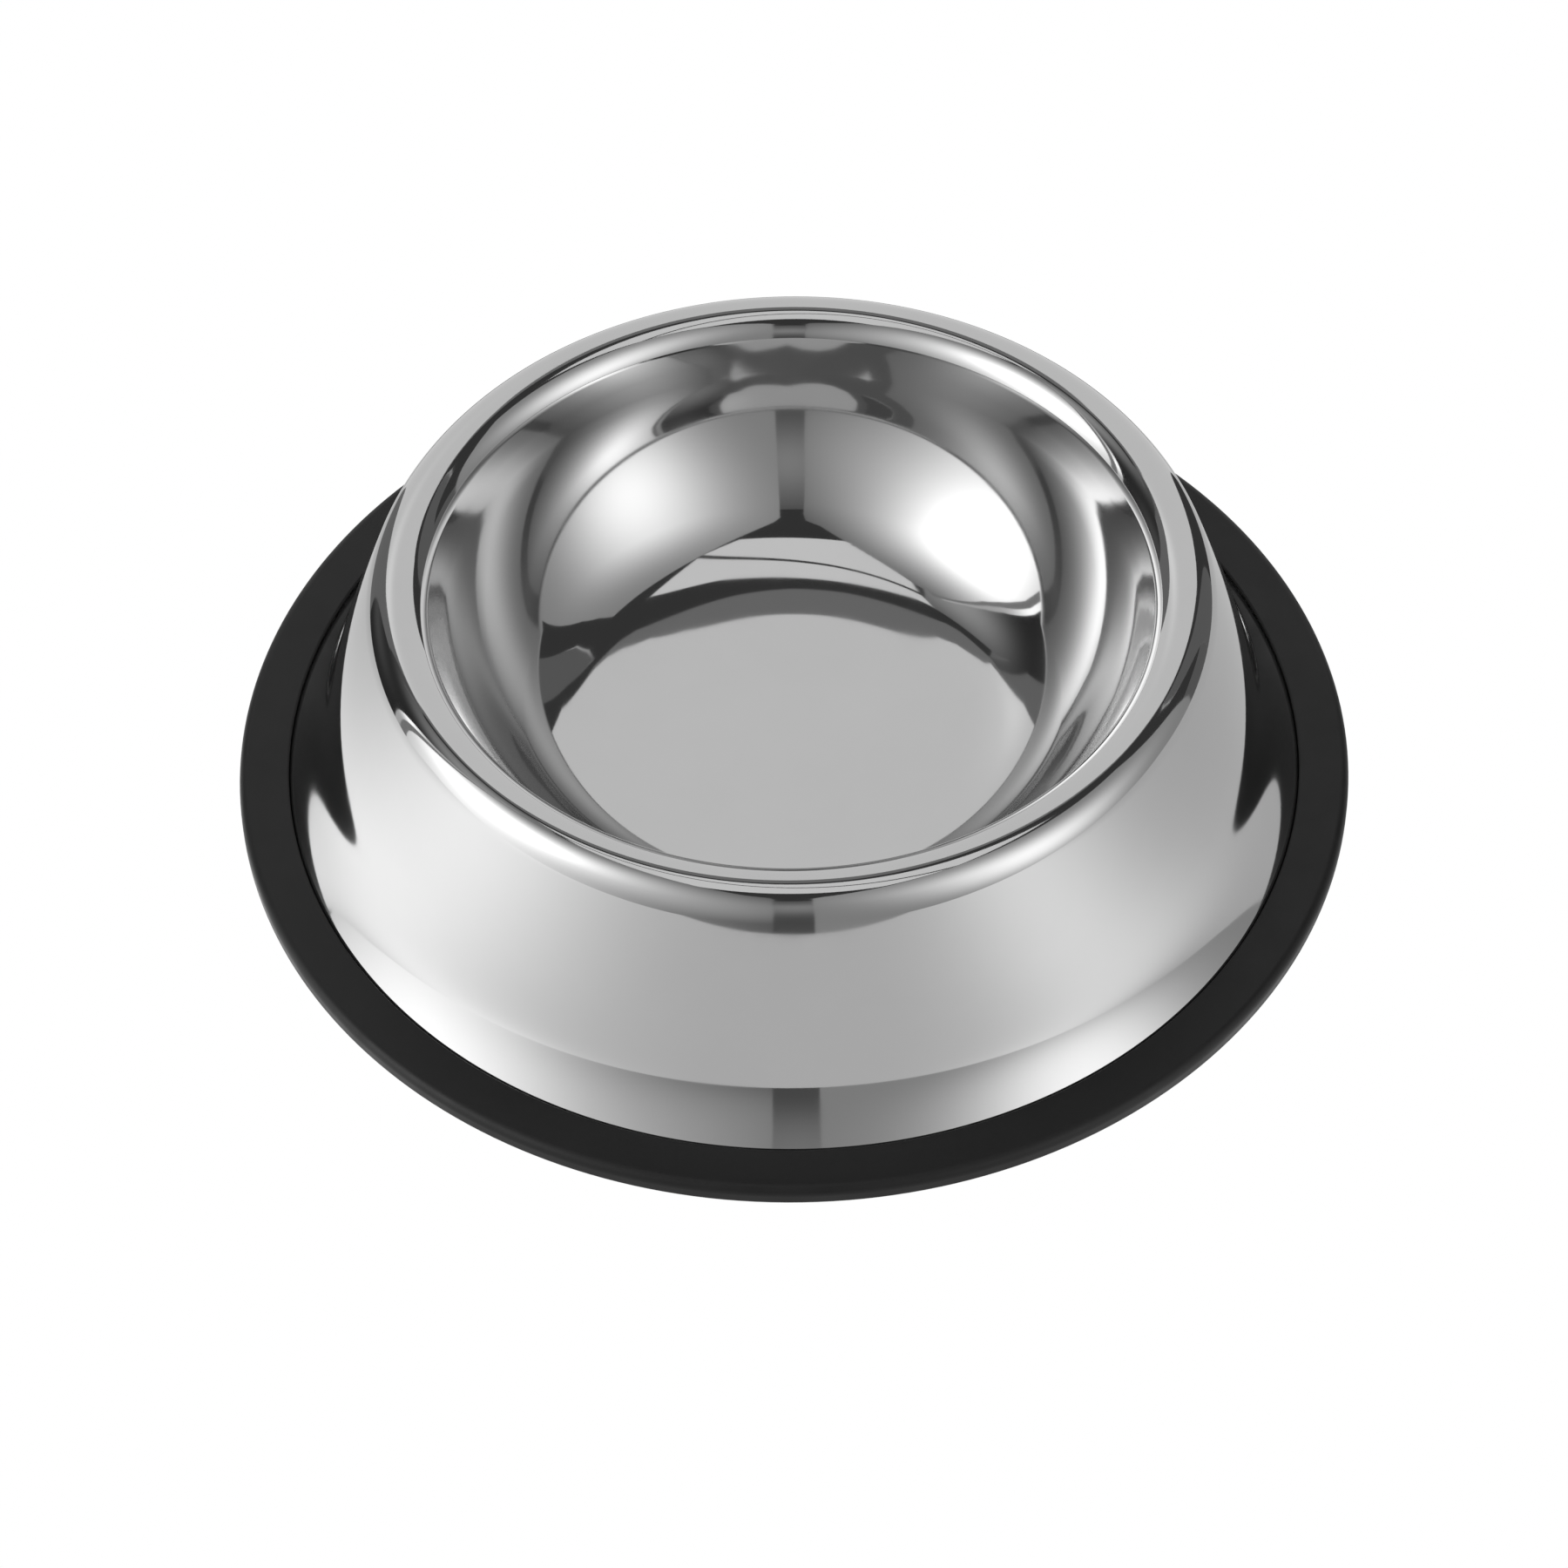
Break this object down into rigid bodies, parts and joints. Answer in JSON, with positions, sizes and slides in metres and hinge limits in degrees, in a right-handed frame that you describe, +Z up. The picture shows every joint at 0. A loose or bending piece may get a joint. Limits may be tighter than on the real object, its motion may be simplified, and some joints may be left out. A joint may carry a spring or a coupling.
{
  "type": "stainless dog bowl",
  "caption": "Round non-tip pet bowl: a polished steel basin with a rolled rim and a flared skirt, gripped at its foot by a rubber ring.",
  "frame": {"origin": "centre of the circle that the bowl stands on, on the table plane", "axes": "+Z up along the bowl's centre line; the bowl is round, so +X and +Y are free"},
  "size_m": [0.22, 0.22, 0.0522],
  "materials": {
    "polished_steel": "stainless steel sheet, mirror polished inside and out",
    "black_rubber": "moulded black rubber, satin"
  },
  "bodies": {
    "root": {"steel_shell": "polished_steel", "rubber_ring": "black_rubber"}
  },
  "joints": []
}
